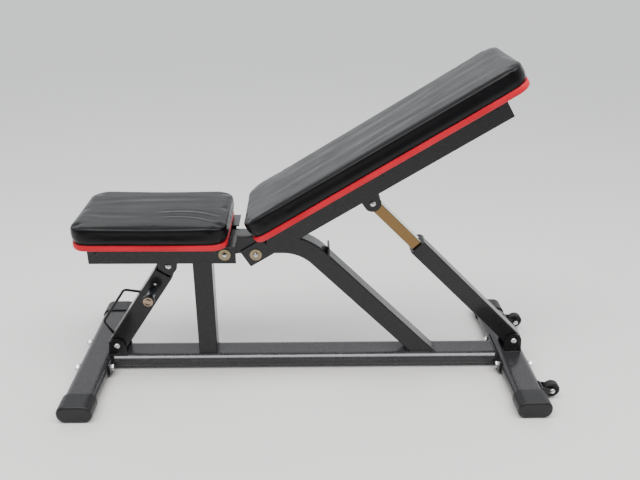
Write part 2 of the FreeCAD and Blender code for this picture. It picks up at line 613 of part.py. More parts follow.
def build_struts():
    length, angle = strut_span(BACK_STRUT_FOOT, BACK_STRUT_HEAD)
    print("back strut", length, angle)
    mouth, pin_s, tail = 401.0, 380.0, length - 414.0
    put = lambda s: tilted(s, BACK_STRUT_FOOT, angle)
    tube = strut_tube(-7.0, mouth, REAR_OUTER).cut(rod(0, -40, 40, 0, BOLT_R + FIT))
    tube = tube.cut(rod(pin_s, 0, 40, 0, PIN_R + 0.6))
    save("back_strut_outer", put(tube))
    save("back_strut_sleeve", put(mouth_sleeve(mouth, REAR_OUTER, REAR_INNER, 60.0, pin_s, 1)))
    holes = [pin_s + 26.0 * i for i in range(-4, 6)]
    save("back_strut_inner", put(inner_tube(tail, length, REAR_INNER, holes, 1)))
    glide_w, glide_bore = REAR_OUTER - 2 * WALL - 0.6, REAR_INNER + 0.6
    glide = bar_x(GLIDE_START, GLIDE_START + GLIDE_L, glide_w, glide_w, 1.2, 0)
    glide = glide.cut(bar_x(GLIDE_START - 1, GLIDE_START + GLIDE_L + 1, glide_bore, glide_bore, 3.2, 0))
    save("back_strut_glide", put(glide))
    for name, shape in pin_parts(pin_s, 1, REAR_OUTER, REAR_INNER, 28.0).items():
        save("back_pin_" + name, put(shape))
    x, z = BACK_STRUT_FOOT
    bolt, nut = pivot_bolt(x, z, REAR_OUTER / 2 + EAR_GAP + PLATE_T)
    save("back_strut_foot_bolt", [bolt, nut])

    length, angle = strut_span(SEAT_STRUT_FOOT, SEAT_STRUT_HEAD)
    print("seat strut", length, angle)
    mouth, pin_s, tail = length - 27.0, 200.0, 40.0
    put = lambda s: tilted(s, SEAT_STRUT_FOOT, angle)
    tube = strut_tube(-10.0, mouth - 3.5, FRONT_OUTER, 4.0).cut(rod(0, -40, 40, 0, BOLT_R + FIT))
    tube = tube.cut(rod(pin_s, -40, 0, 0, PIN_R + 0.6))
    save("seat_strut_outer", put(tube))
    save("seat_strut_sleeve", put(mouth_sleeve(mouth - 3.5, FRONT_OUTER, FRONT_INNER, 110.0, pin_s, -1)))
    holes = [pin_s + 24.0 * i for i in range(-4, 2)]
    save("seat_strut_inner", put(inner_tube(tail, length, FRONT_INNER, holes, -1)))
    for name, shape in pin_parts(pin_s, -1, FRONT_OUTER, FRONT_INNER, 40.0).items():
        save("seat_pin_" + name, put(shape))
    half = FRONT_OUTER / 2
    loop = wire_loop([(167, half - 1), (149, 63), (31, 64), (11, half - 1)], 3.5, 12.0)
    save("carry_handle", put(loop.cut(bar_x(-50, 300, FRONT_OUTER, FRONT_OUTER, 4.0, 0))))


os.makedirs("parts", exist_ok=True)
build_base()
build_seat()
build_backrest()
build_struts()
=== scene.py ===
"""Looks of the adjustable weight bench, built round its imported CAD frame. Metres, +Z up, near side -Y."""
import json
from math import atan2, cos, hypot, pi, radians, sin

import bmesh
import bpy
from mathutils import Matrix, Vector, noise


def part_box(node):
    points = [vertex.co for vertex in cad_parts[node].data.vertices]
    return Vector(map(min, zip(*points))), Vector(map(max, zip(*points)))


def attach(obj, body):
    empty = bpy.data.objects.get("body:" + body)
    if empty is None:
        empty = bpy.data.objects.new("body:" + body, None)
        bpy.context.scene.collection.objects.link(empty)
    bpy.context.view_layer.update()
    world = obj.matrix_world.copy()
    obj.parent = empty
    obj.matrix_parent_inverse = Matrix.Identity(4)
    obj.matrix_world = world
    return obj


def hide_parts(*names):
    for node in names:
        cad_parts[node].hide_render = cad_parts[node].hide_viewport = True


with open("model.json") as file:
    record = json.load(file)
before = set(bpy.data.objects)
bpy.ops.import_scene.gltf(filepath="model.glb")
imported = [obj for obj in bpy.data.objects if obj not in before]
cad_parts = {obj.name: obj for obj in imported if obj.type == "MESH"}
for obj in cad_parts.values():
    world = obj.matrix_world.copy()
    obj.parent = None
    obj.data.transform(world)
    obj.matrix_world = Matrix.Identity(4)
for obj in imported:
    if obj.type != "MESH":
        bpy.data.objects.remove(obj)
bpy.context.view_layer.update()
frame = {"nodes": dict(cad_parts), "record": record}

CAD_SHARP, TURNED_SHARP = 32, 35        # degrees between faces that stay sharp
SCENE = bpy.context.scene
RECORD = frame["record"]
JOINTS = {j["name"]: j for j in RECORD["behaviour"]["joints"]}


# ---- places read from the frame -----------------------------------------------------------
def frame_at(pivot, angle):
    """Matrix of a local frame at a pivot, its X turned up from +X by angle, its Y along +Y."""
    return Matrix.Translation(pivot) @ Matrix.Rotation(-angle, 4, "Y")


def local_box(node, place):
    """Lowest and highest corner of a CAD node in a local frame."""
    inverse = place.inverted()
    points = [inverse @ v.co for v in frame["nodes"][node].data.vertices]
    return (Vector([min(p[i] for p in points) for i in range(3)]),
            Vector([max(p[i] for p in points) for i in range(3)]))


def joint_place(name):
    return Vector(JOINTS[name]["pos_m"])


def slide_angle(name):
    axis = JOINTS[name]["axis"]
    return atan2(axis[2], axis[0])


def flattest_tilt(node, pivot):
    """Angle, to a tenth of a degree, at which a flat node is thinnest: the tilt it was built at."""
    best = min(range(900), key=lambda tenths: thickness(node, pivot, radians(tenths / 10)))
    return radians(best / 10)


def thickness(node, pivot, angle):
    """Height of a node across a plane that is tilted up from +X by angle."""
    c, s = cos(angle), sin(angle)
    heights = [c * (v.co.z - pivot.z) - s * (v.co.x - pivot.x) for v in frame["nodes"][node].data.vertices]
    return max(heights) - min(heights)


BACK_PIVOT = joint_place("backrest_raise")
SEAT_FRAME = Matrix.Identity(4)
BACK_TILT = flattest_tilt("backrest_board", BACK_PIVOT)
BACK_FRAME = frame_at(BACK_PIVOT, BACK_TILT)
SEAT_STRUT = frame_at(joint_place("seat_strut_swing"), slide_angle("seat_strut_extend"))
BACK_STRUT = frame_at(joint_place("back_strut_swing_low"), slide_angle("back_strut_extend"))


# ---- materials ----------------------------------------------------------------------------
class Graph:
    """A material's node tree, with short ways to add nodes and wire them."""

    def __init__(self, name, **sockets):
        self.material = bpy.data.materials.new(name)
        self.material.use_nodes = True
        self.tree = self.material.node_tree
        self.shader = self.tree.nodes["Principled BSDF"]
        for key, value in sockets.items():
            self.shader.inputs[key.replace("_", " ")].default_value = value
        self.coordinates = self.tree.nodes.new("ShaderNodeTexCoord").outputs["Object"]

    def add(self, kind, **sockets):
        node = self.tree.nodes.new("ShaderNode" + kind)
        for key, value in sockets.items():
            socket = node.inputs[key.replace("_", " ")]
            if isinstance(value, bpy.types.NodeSocket):
                self.tree.links.new(value, socket)
            else:
                socket.default_value = value
        return node

    def stretched(self, scale):
        return self.add("Mapping", Vector=self.coordinates, Scale=scale).outputs["Vector"]

    def noise(self, scale, detail=3.0, vector=None, roughness=0.5):
        node = self.add("TexNoise", Vector=vector or self.coordinates, Scale=scale, Detail=detail,
                        Roughness=roughness)
        return node.outputs["Fac"]

    def cells(self, scale, output="Distance"):
        return self.add("TexVoronoi", Vector=self.coordinates, Scale=scale).outputs[output]

    def mapped(self, value, low, high, start=0.0, end=1.0):
        """value from low..high turned into start..end."""
        node = self.tree.nodes.new("ShaderNodeMapRange")
        self.tree.links.new(value, node.inputs["Value"])
        for key, number in (("From Min", low), ("From Max", high), ("To Min", start), ("To Max", end)):
            node.inputs[key].default_value = number
        return node.outputs["Result"]

    def math(self, operation, a, b):
        node = self.tree.nodes.new("ShaderNodeMath")
        node.operation = operation
        for socket, value in zip(node.inputs, (a, b)):
            if isinstance(value, bpy.types.NodeSocket):
                self.tree.links.new(value, socket)
            else:
                socket.default_value = value
        return node.outputs[0]

    def blend(self, factor, a, b):
        """Colour a where factor is 0, b where it is 1."""
        node = self.tree.nodes.new("ShaderNodeMix")
        node.data_type = "RGBA"
        self.tree.links.new(factor, node.inputs["Factor"])
        for socket, value in ((node.inputs[6], a), (node.inputs[7], b)):
            if isinstance(value, bpy.types.NodeSocket):
                self.tree.links.new(value, socket)
            else:
                socket.default_value = (*value, 1.0)
        return node.outputs[2]

    def bump(self, height, distance, strength=1.0, after=None):
        node = self.add("Bump", Height=height, Distance=distance, Strength=strength)
        if after:
            self.tree.links.new(after, node.inputs["Normal"])
        return node.outputs["Normal"]

    def into(self, **sockets):
        for key, value in sockets.items():
            self.tree.links.new(value, self.shader.inputs[key.replace("_", " ")])
        return self.material


def soft_edges(g, radius):
    """Normal that rounds the sharp edges of a mesh by radius when it is shaded."""
    return g.add("Bevel", Radius=radius).outputs["Normal"]


def paint_material():
    """Charcoal paint with fine metallic flakes, slight orange peel, and edges rubbed a little lighter."""
    g = Graph("charcoal_paint", Metallic=0.15, Coat_Weight=0.3, Coat_Roughness=0.12, Specular_IOR_Level=0.22)
    cloud = g.noise(9.0, 2.0)
    base = g.blend(cloud, (0.007, 0.0062, 0.0068), (0.011, 0.0102, 0.0115))
    flakes = g.mapped(g.cells(1100.0, "Color"), 0.82, 1.0)
    colour = g.blend(flakes, base, (0.085, 0.085, 0.095))
    rounded = soft_edges(g, 0.0009)
    facing = g.add("VectorMath")
    facing.operation = "DOT_PRODUCT"
    g.tree.links.new(rounded, facing.inputs[0])
    g.tree.links.new(g.tree.nodes.new("ShaderNodeNewGeometry").outputs["Normal"], facing.inputs[1])
    worn = g.mapped(facing.outputs["Value"], 0.99, 0.86)
    rub = g.math("MULTIPLY", worn, g.mapped(g.noise(60.0), 0.42, 0.7))
    colour = g.blend(rub, colour, (0.07, 0.07, 0.078))
    rough = g.mapped(g.noise(34.0, 4.0), 0.3, 0.7, 0.24, 0.36)
    peel = g.bump(g.noise(420.0, 2.0), 0.00012, 0.5, after=rounded)
    return g.into(Base_Color=colour, Roughness=rough, Normal=peel)


def leather_material(name, dark, light, rough, coat):
    """Leatherette: pebble grain, soft patches of shine, fine scuffs."""
    g = Graph(name, Coat_Weight=coat, Coat_Roughness=0.2, Specular_IOR_Level=0.14)
    patches = g.noise(14.0, 4.0)
    colour = g.blend(g.mapped(patches, 0.35, 0.7), dark, light)
    streaks = g.noise(7.0, 3.0, g.stretched((1.0, 9.0, 3.0)))
    roughness = g.mapped(g.math("ADD", patches, streaks), 0.7, 1.35, rough - 0.06, rough + 0.1)
    pebbles = g.cells(950.0)
    grain = g.bump(pebbles, 0.00016, 0.55)
    folds = g.bump(g.noise(95.0, 3.0), 0.0005, 0.35, after=grain)
    return g.into(Base_Color=colour, Roughness=roughness, Normal=folds)


def metal_material(name, colour, rough, spread, blotch=0.06):
    """Plated or polished metal with faint cloudy wear and hairline marks."""
    g = Graph(name, Metallic=1.0)
    cloud = g.noise(70.0, 4.0)
    darker = tuple(c * (1.0 - 3 * blotch) for c in colour)
    rounded = soft_edges(g, 0.0006)
    lines = g.noise(260.0, 2.0, g.stretched((1.0, 14.0, 14.0)))
    return g.into(
        Base_Color=g.blend(g.mapped(cloud, 0.3, 0.75), darker, colour),
        Roughness=g.mapped(g.math("ADD", cloud, lines), 0.7, 1.4, rough, rough + spread),
        Normal=g.bump(lines, 0.00004, 0.3, after=rounded))


def chrome_material():
    """Polished chrome with a painted floor reflection: warm brown base colour on the tube's upright walls,
    clear on top.
    """
    g = Graph("chrome", Metallic=1.0)
    turn = g.add("SeparateXYZ", Vector=g.tree.nodes.new("ShaderNodeNewGeometry").outputs["Normal"])
    # painted reflection: walls facing near and far get a warm brown base colour that stands in for the floor
    # they mirror; the top stays clear
    painted_reflection_mask = g.mapped(g.math("ABSOLUTE", turn.outputs["Y"], 0.0), 0.45, 0.95)
    haze = g.noise(90.0, 3.0, g.stretched((1.0, 6.0, 6.0)))
    painted_floor_reflection = g.blend(haze, (0.155, 0.095, 0.04), (0.215, 0.137, 0.062))
    return g.into(
        Base_Color=g.blend(painted_reflection_mask, (0.86, 0.83, 0.8), painted_floor_reflection),
        Roughness=g.mapped(haze, 0.3, 0.7, 0.07, 0.13),
        Normal=soft_edges(g, 0.0008))


def plastic_material(name, colour, rough, texture, depth):
    """Moulded plastic or rubber with a spark-eroded texture."""
    g = Graph(name, Specular_IOR_Level=0.35)
    cloud = g.noise(22.0, 3.0)
    lighter = tuple(c * 1.7 + 0.002 for c in colour)
    pits = g.bump(g.noise(texture, 3.0, roughness=0.7), depth, 0.6, after=soft_edges(g, 0.0008))
    return g.into(
        Base_Color=g.blend(g.mapped(cloud, 0.3, 0.8), colour, lighter),
        Roughness=g.mapped(g.noise(130.0), 0.3, 0.7, rough, rough + 0.14),
        Normal=pits)


def plywood_material():
    """Pale plywood face with long grain and fine rays."""
    g = Graph("plywood_face", IOR=1.45)
    grain = g.noise(16.0, 6.0, g.stretched((1.2, 14.0, 14.0)), 0.65)
    rays = g.noise(180.0, 3.0, g.stretched((1.0, 7.0, 7.0)))
    colour = g.blend(g.mapped(grain, 0.3, 0.72), (0.34, 0.22, 0.115), (0.56, 0.4, 0.235))
    return g.into(Base_Color=colour, Roughness=g.mapped(rays, 0.2, 0.8, 0.6, 0.82),
                  Normal=g.bump(g.math("ADD", grain, rays), 0.0003, 0.5))


def floor_material():
    g = Graph("pale_floor")
    colour = g.blend(g.noise(1.3, 3.0), (0.79, 0.785, 0.77), (0.83, 0.825, 0.81))
    return g.into(Base_Color=colour, Roughness=g.mapped(g.noise(40.0), 0.3, 0.7, 0.42, 0.55))


PAINT = paint_material()
BLACK_LEATHER = leather_material("black_leatherette", (0.0012, 0.0012, 0.0016), (0.0028, 0.0028, 0.0036),
                                 0.31, 0.1)
RED_VINYL = leather_material("red_vinyl", (0.56, 0.006, 0.02), (0.7, 0.012, 0.032), 0.4, 0.1)
ZINC = metal_material("bright_zinc", (0.7, 0.71, 0.73), 0.17, 0.2)
SATIN_STEEL = metal_material("satin_steel", (0.3, 0.33, 0.37), 0.3, 0.15)
YELLOW_ZINC = metal_material("yellow_zinc", (0.34, 0.275, 0.175), 0.36, 0.2, 0.09)
CHROME = chrome_material()
BLACK_PLASTIC = plastic_material("black_plastic", (0.006, 0.006, 0.007), 0.36, 700.0, 0.0001)
RUBBER = plastic_material("wheel_rubber", (0.008, 0.008, 0.009), 0.5, 520.0, 0.00016)
PLYWOOD = plywood_material()
THREAD = plastic_material("black_thread", (0.012, 0.012, 0.013), 0.6, 1800.0, 0.0002)
TAN = plastic_material("tan_disc", (0.3, 0.215, 0.14), 0.38, 420.0, 0.00005)
SLOT_MATERIALS = {"frame_paint": PAINT, "pad_cover": BLACK_LEATHER, "plywood": PLYWOOD, "chrome_tube": CHROME,
                  "zinc": ZINC, "satin_steel": SATIN_STEEL, "yellow_zinc": YELLOW_ZINC,
                  "black_plastic": BLACK_PLASTIC, "black_rubber": RUBBER}


def dress_nodes():
    """Every CAD node that stays gets its slot's material and smooth shading up to sharp edges."""
    for part in RECORD["subparts"]:
        node = frame["nodes"][part["node"]]
        node.data.materials.clear()
        node.data.materials.append(SLOT_MATERIALS[part["material_slot"]])
        smooth_by_angle(node, CAD_SHARP)


def smooth_by_angle(obj, limit):
    """Smooth shading, broken where two faces meet at more than limit degrees."""
    obj.data.shade_smooth()
    obj.data.set_sharp_from_angle(angle=radians(limit))


# ---- mesh helpers -------------------------------------------------------------------------
def new_object(name, vertices, faces, material, smooth=True):
    mesh = bpy.data.meshes.new(name)
    mesh.from_pydata([tuple(v) for v in vertices], [], faces)
    mesh.validate()
    mesh.materials.append(material)
    obj = bpy.data.objects.new(name, mesh)
    SCENE.collection.objects.link(obj)
    repair_normals(mesh)
    if smooth:
        mesh.shade_smooth()
    return obj


def repair_normals(mesh):
    bm = bmesh.new()
    bm.from_mesh(mesh)
    bmesh.ops.recalc_face_normals(bm, faces=bm.faces)
    bm.to_mesh(mesh)
    bm.free()


def place_on(obj, matrix, body):
    """Move a mesh drawn in a local frame into the row frame, and let it ride on its body."""
    obj.data.transform(matrix)
    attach(obj, body)
    return obj


def rings_mesh(rings, close_loop=False):
    """Vertices and faces of a skin over rings of equal length; close_loop joins the last to the first."""
    n = len(rings[0])
    vertices = [p for ring in rings for p in ring]
    faces = []
    last = len(rings) if close_loop else len(rings) - 1
    for i in range(last):
        a, b = i * n, (i + 1) % len(rings) * n
        faces += [(a + k, a + (k + 1) % n, b + (k + 1) % n, b + k) for k in range(n)]
    if not close_loop:
        faces.append(tuple(range(n)))
        faces.append(tuple(range((len(rings) - 1) * n, len(rings) * n)))
    return vertices, faces


def merged(parts):
    """Vertices and faces of several small meshes taken as one."""
    vertices, faces = [], []
    for more_vertices, more_faces in parts:
        faces += [tuple(k + len(vertices) for k in f) for f in more_faces]
        vertices += more_vertices
    return vertices, faces


def tube_along(points, radius_of, sides=10, closed=False, flatten=1.0, up=Vector((0, 0, 1))):
    """Rings round a line of points; radius_of(i) gives each ring's radius."""
    rings = []
    count = len(points)
    for i, p in enumerate(points):
        if closed:
            ahead = (points[(i + 1) % count] - points[i - 1]).normalized()
        else:
            ahead = (points[min(i + 1, count - 1)] - points[max(i - 1, 0)]).normalized()
        side = ahead.cross(up)
        side = side.normalized() if side.length > 1e-6 else Vector((1, 0, 0))
        lift = side.cross(ahead).normalized()
        r = radius_of(i)
        rings.append([p + side * r * cos(a) + lift * r * flatten * sin(a)
                      for a in (2 * pi * k / sides for k in range(sides))])
    return rings_mesh(rings, closed)


def resample(points, step, closed):
    """Points every step or so along a polyline."""
    corners = points + points[:1] if closed else points
    out = []
    for a, b in zip(corners, corners[1:]):
        n = max(1, round((b - a).length / step))
        out += [a.lerp(b, i / n) for i in range(n)]
    if not closed:
        out.append(corners[-1])
    return out


def rounded_outline(u0, u1, v0, v1, radius, step):
    """(point, outward normal) pairs round a rounded rectangle, spaced by about step."""
    corners = [(u1 - radius, v0 + radius, -90), (u1 - radius, v1 - radius, 0),
               (u0 + radius, v1 - radius, 90), (u0 + radius, v0 + radius, 180)]
    turns = max(3, round(radius * pi / 2 / step))
    out = []
    for i, (cu, cv, start) in enumerate(corners):
        for k in range(turns):
            a = radians(start + 90 * k / turns)
            out.append((Vector((cu + radius * cos(a), cv + radius * sin(a))), Vector((cos(a), sin(a)))))
        a = radians(start + 90)
        normal = Vector((cos(a), sin(a)))
        begin = Vector((cu, cv)) + normal * radius
        nu, nv, _ = corners[(i + 1) % 4]
        end = Vector((nu, nv)) + normal * radius
        n = max(1, round((end - begin).length / step))
        out += [(begin.lerp(end, k / n), normal) for k in range(n)]
    return out


# ---- weld beads ---------------------------------------------------------------------------
BEAD_STEP = 0.0013        # between the rings of a bead
BEAD_R = 0.0023
HEAD_BEAD_R = 0.6 * BEAD_R
BRACKET_BEAD_R = 0.0026
BARREL_BEAD_R = 0.0018
HANDLE_BEAD_R = 0.0016
RAIL_CORNER_R = 0.018
WING_DEPTH = 0.019        # how far down a channel's wall a wing reaches
BEAD_CLEAR = 0.003        # kept between a bead and the steel's top edge
EAR_MIDDLE = 0.0045       # from a channel's side to the middle of a strut bracket's ear
FOOT_EDGE = 0.004         # of the rear foot, where the wheel brackets stand
HANDLE_R = 0.0045


def weld(name, points, body, closed=False, place=None, radius=BEAD_R):
    """A weld bead with the ripples of overlapping pools along a line of points."""
    line = resample([Vector(p) for p in points], BEAD_STEP, closed)

    def radius_at(i):
        wobble = noise.noise(line[i] * 140.0)
        end = 1.0 if closed else min(1.0, 0.35 + 0.25 * min(i, len(line) - 1 - i))
        return radius * end * (0.9 + 0.12 * (i % 3) / 2 + 0.16 * wobble)

    obj = new_object(name, *tube_along(line, radius_at, 8, closed, 0.8), PAINT)
    place_on(obj, place or Matrix.Identity(4), body)


def box_loop(x0, x1, y0, y1, z):
    return [(x0, y0, z), (x1, y0, z), (x1, y1, z), (x0, y1, z)]


def side_name(y):
    return "near" if y < 0 else "far"


def base_welds():
    """Beads on the base: post, bent beam, strut brackets, rail ends, stop plate and wheel brackets."""
    rail_lo, rail_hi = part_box("base_rail")
    post_lo, post_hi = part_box("support_post")
    beam_lo, beam_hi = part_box("bent_beam")
    top = rail_hi.z
    weld("weld_post_foot", box_loop(post_lo.x, post_hi.x, post_lo.y, post_hi.y, top), "base", True)
    weld("weld_post_head", box_loop(post_lo.x, post_hi.x, post_lo.y, post_hi.y, post_hi.z), "base", True,
         radius=HEAD_BEAD_R)
    leg = [v.co.x for v in frame["nodes"]["bent_beam"].data.vertices if v.co.z < top + 0.002]
    weld("weld_beam_foot", box_loop(min(leg), max(leg), beam_lo.y, beam_hi.y, top), "base", True)
    for name in ("seat_strut_foot_bracket", "back_strut_foot_bracket"):
        lo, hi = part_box(name)
        for side in (lo.y, hi.y):
            weld("weld_%s_%s" % (name, side_name(side)), [(lo.x, side, top), (hi.x, side, top)], "base")
    for name, x in (("front", rail_lo.x), ("rear", rail_hi.x)):
        outline = rounded_outline(rail_lo.y, rail_hi.y, rail_lo.z, rail_hi.z, RAIL_CORNER_R, 0.003)
        weld("weld_rail_" + name, [(x, p.x, p.y) for p, _ in outline], "base", True)
    lo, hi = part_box("backrest_stop_plate")
    slope = min(v.co.z for v in frame["nodes"]["backrest_stop_plate"].data.vertices if v.co.x < lo.x + 0.001)
    weld("weld_stop_plate", [(lo.x, lo.y, slope), (lo.x, hi.y, slope)], "base")
    _, foot_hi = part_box("rear_foot_tube")
    x, z = foot_hi.x - FOOT_EDGE, foot_hi.z - FOOT_EDGE
    for side in ("near", "far"):
        lo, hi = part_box(side + "_wheel_bracket")
        weld("weld_%s_wheel" % side, [(x, lo.y, z), (x, hi.y, z)], "base")


def wing_spans(node, place):
    """Start and end, along a pad, of each pair of wings under it."""
    inverse = place.inverted()
    along = sorted({round((inverse @ v.co).x, 4) for v in frame["nodes"][node].data.vertices})
    starts = [i for i, u in enumerate(along) if i == 0 or u - along[i - 1] > 0.04]
    return [(along[i], along[j - 1]) for i, j in zip(starts, starts[1:] + [len(along)])]


def upper_welds():
    """Beads on the moving steel: wings, head brackets, pull pins' barrels and the carry handle."""
    for node, wings, place, body in (("seat_frame", "seat_wings", SEAT_FRAME, "seat"),
                                     ("backrest_frame", "backrest_wings", BACK_FRAME, "backrest")):
        lo, hi = local_box(node, place)
        for k, (u, end) in enumerate(wing_spans(wings, place)):
            top = hi.z - BEAD_CLEAR
            for side in (lo.y, hi.y):
                weld("weld_%s_wing_%d_%s" % (body, k, side_name(side)),
                     [(u, side, hi.z - WING_DEPTH), (u, side, top), (min(end, hi.x), side, top)],
                     body, place=place)
    for node, body, place in (("seat_strut_head_bracket", "seat", SEAT_FRAME),
                              ("back_strut_head_bracket", "backrest", BACK_FRAME)):
        frame_lo, _ = local_box("seat_frame" if body == "seat" else "backrest_frame", place)
        lo, hi = local_box(node, place)
        z = frame_lo.z + 0.001
        for side in (frame_lo.y + EAR_MIDDLE, -frame_lo.y - EAR_MIDDLE):
            weld("weld_%s_%s" % (node, side_name(side)), [(lo.x + 0.004, side, z), (hi.x - 0.004, side, z)],
                 body, place=place, radius=BRACKET_BEAD_R)
    for prefix, place, body in (("seat", SEAT_STRUT, "seat_outer"), ("back", BACK_STRUT, "back_outer")):
        lo, hi = local_box(prefix + "_pin_barrel", place)
        tube_lo, tube_hi = local_box(prefix + "_strut_outer", place)
        face = tube_lo.y if prefix == "seat" else tube_hi.y
        centre, r = (lo + hi) / 2, (hi.x - lo.x) / 2
        turns = [pi * k / 12 for k in range(24)]
        ring = [(centre.x + r * cos(a), face, centre.z + r * sin(a)) for a in turns]
        weld("weld_%s_barrel" % prefix, ring, body, True, place, BARREL_BEAD_R)
    for k, (s, n) in enumerate(handle_ends()):
        ring = [(s + HANDLE_R * cos(a), HANDLE_R * sin(a), n) for a in (pi * j / 8 for j in range(16))]
        weld("weld_handle_%d" % k, ring, "seat_outer", True, SEAT_STRUT, HANDLE_BEAD_R)


def handle_ends():
    """Where the carry handle's two ends meet the strut's upper face."""
    inverse = SEAT_STRUT.inverted()
    _, tube_hi = local_box("seat_strut_outer", SEAT_STRUT)
    points = [inverse @ v.co for v in frame["nodes"]["carry_handle"].data.vertices]
    low = [p.x for p in points if p.z < tube_hi.z + 0.001]
    middle = (min(low) + max(low)) / 2
    first = [s for s in low if s < middle]
    second = [s for s in low if s >= middle]
    return [(sum(g) / len(g), tube_hi.z) for g in (first, second)]


# ---- cushions -----------------------------------------------------------------------------
BAND_H = 0.0158           # height of the red band
BAND_INSET = 0.0048       # the band sits in under the cover's widest line
PAD_PLAN_R = 0.042        # plan corner radius
TOP_R = 0.007             # rounding of the top edge
VOXEL, QUICK_VOXEL = 0.004, 0.006
SIM_FRAMES = 20
SWELL_CAP = 0.0022        # furthest that a point of the cover may move
COVER_INSET = 0.0015      # the cover starts smaller than its box by this, and then swells
HELD_H = 0.017            # the cover's foot is held below this height
OUTLINE_STEP = 0.0045     # between the points of the band's outline, and of its stitches
THREAD_R = 0.00042
STITCH_L = 0.0034
HEM_OUTER, HEM_INNER, HEM_T = -0.009, -0.0235, 0.0007
STAPLE_EVERY = 8          # points of the outline from one staple to the next
STAPLE_INSET = 0.0185
STAPLE_HALF = 0.0055
STAPLE_WIRE_R = 0.00045
BELL = 2.718              # base of the bell curve across a fold


def cushion_rings(u0, u1, v0, v1, low, high):
    """Rings of the cushion before it swells: a tucked-in foot, upright sides and a rounded top edge."""
    profile = [(-0.016, low), (-0.0085, low), (-0.0068, low + 0.003), (-0.0064, low + 0.0095),
               (-0.005, low + 0.014), (-0.0018, low + 0.02), (0.0, low + 0.029), (0.0, high - TOP_R)]
    for k in range(1, 7):
        a = pi / 2 * k / 6
        profile.append((-TOP_R + TOP_R * cos(a), high - TOP_R + TOP_R * sin(a)))
    outline = rounded_outline(u0, u1, v0, v1, PAD_PLAN_R, 0.008)
    return [[Vector((p.x + n.x * d, p.y + n.y * d, w)) for p, n in outline] for d, w in profile]


def swell(obj, pinned_below):
    """Inflate a cushion as cloth under pressure, its foot held, and cap how far any point moves."""
    mesh = obj.data
    start = [v.co.copy() for v in mesh.vertices]
    group = obj.vertex_groups.new(name="held")
    group.add([v.index for v in mesh.vertices if v.co.z < pinned_below], 1.0, "REPLACE")
    cloth = obj.modifiers.new("Cloth", "CLOTH")
    settings = cloth.settings
    settings.use_pressure = True
    settings.uniform_pressure_force = 3.0
    settings.effector_weights.gravity = 0.0
    settings.quality = 6
    settings.mass = 0.4
    settings.tension_stiffness = 25.0
    settings.compression_stiffness = 25.0
    settings.bending_stiffness = 6.0
    settings.vertex_group_mass = "held"
    cloth.point_cache.frame_start = 1
    cloth.point_cache.frame_end = SIM_FRAMES
    for i in range(1, SIM_FRAMES + 1):
        SCENE.frame_set(i)
    shape = obj.evaluated_get(bpy.context.evaluated_depsgraph_get()).to_mesh()
    moved = [v.co.copy() for v in shape.vertices]
    obj.modifiers.clear()
    for vertex, before, after in zip(mesh.vertices, start, moved):
        step = after - before
        if step.length > SWELL_CAP:
            step *= SWELL_CAP / step.length
        vertex.co = before + step
    SCENE.frame_set(1)


def remesh(obj, voxel):
    modifier = obj.modifiers.new("Remesh", "REMESH")
    modifier.mode = "VOXEL"
    modifier.voxel_size = voxel
    modifier.use_smooth_shade = True
    bake(obj)


def bake(obj):
    """Replace an object's mesh by what its modifiers make of it."""
    evaluated = obj.evaluated_get(bpy.context.evaluated_depsgraph_get())
    mesh = bpy.data.meshes.new_from_object(evaluated)
    old = obj.data
    obj.modifiers.clear()
    obj.data = mesh
    mesh.name = old.name


def fit_box(mesh, lo, hi):
    """Stretch a cushion's mesh so that its plan and its top match the box it stands for."""
    for axis, middle in ((0, (lo.x + hi.x) / 2), (1, (lo.y + hi.y) / 2), (2, lo.z)):
        reach = max(abs(v.co[axis] - middle) for v in mesh.vertices)
        scale = (hi[axis] - middle) / reach
        for vertex in mesh.vertices:
            vertex.co[axis] = middle + (vertex.co[axis] - middle) * scale


def crease(u, v, a, b, bow, width, depth):
    """Height of one soft fold: a bowed line from a to b with a rounded ridge and a hollow beside it."""
    du, dv = b[0] - a[0], b[1] - a[1]
    length = hypot(du, dv)
    along = ((u - a[0]) * du + (v - a[1]) * dv) / length ** 2
    if along < -0.15 or along > 1.15:
        return 0.0
    across = ((u - a[0]) * -dv + (v - a[1]) * du) / length - bow * sin(pi * min(max(along, 0), 1))
    fade = max(0.0, min(1.0, (along + 0.15) / 0.3)) * max(0.0, min(1.0, (1.15 - along) / 0.3))
    ridge = BELL ** (-(across / width) ** 2)
    hollow = BELL ** (-((across - 1.6 * width) / width) ** 2)
    return depth * fade * (ridge - 0.8 * hollow)


def wrinkle(mesh, size, creases, low, high):
    """Soft folds on top, and short puckers pulled round the plan corners above the band."""
    (u0, u1), (v0, v1) = size
    middle_u, middle_v = (u0 + u1) / 2, (v0 + v1) / 2
    normals = [v.normal.copy() for v in mesh.vertices]
    for vertex, normal in zip(mesh.vertices, normals):
        u, v, w = vertex.co
        inside = min(u - u0, u1 - u, v - v0, v1 - v)
        top = max(0.0, normal.z) ** 2
        lift = 0.0
        if top > 0.05:
            long_waves = noise.noise(Vector(((u - u0) * 5.0, (v - v0) * 26.0, low)))
            lift += top * 0.0004 * long_waves * min(1.0, max(0.0, inside / 0.02))
            lift += top * sum(crease(u - middle_u, v - middle_v, *line) for line in creases)
        corner_u = max(0.0, abs(u - middle_u) - (u1 - middle_u - 1.15 * PAD_PLAN_R))
        corner_v = max(0.0, abs(v - middle_v) - (v1 - middle_v - 1.15 * PAD_PLAN_R))
        if corner_u > 0 and corner_v > 0:
            turn = atan2(corner_v, corner_u)
            height = max(0.0, min(1.0, (high - w) / (high - low)))
            near_edge = min(1.0, min(corner_u, corner_v) / 0.012)
            pull = max(0.0, sin(turn * 18 + 3 * noise.noise(Vector((u * 20, v * 20, 0)))))
            lift -= 0.0005 * near_edge * height ** 1.5 * (1 - top) * pull
        vertex.co += normal * lift
    mesh.update()


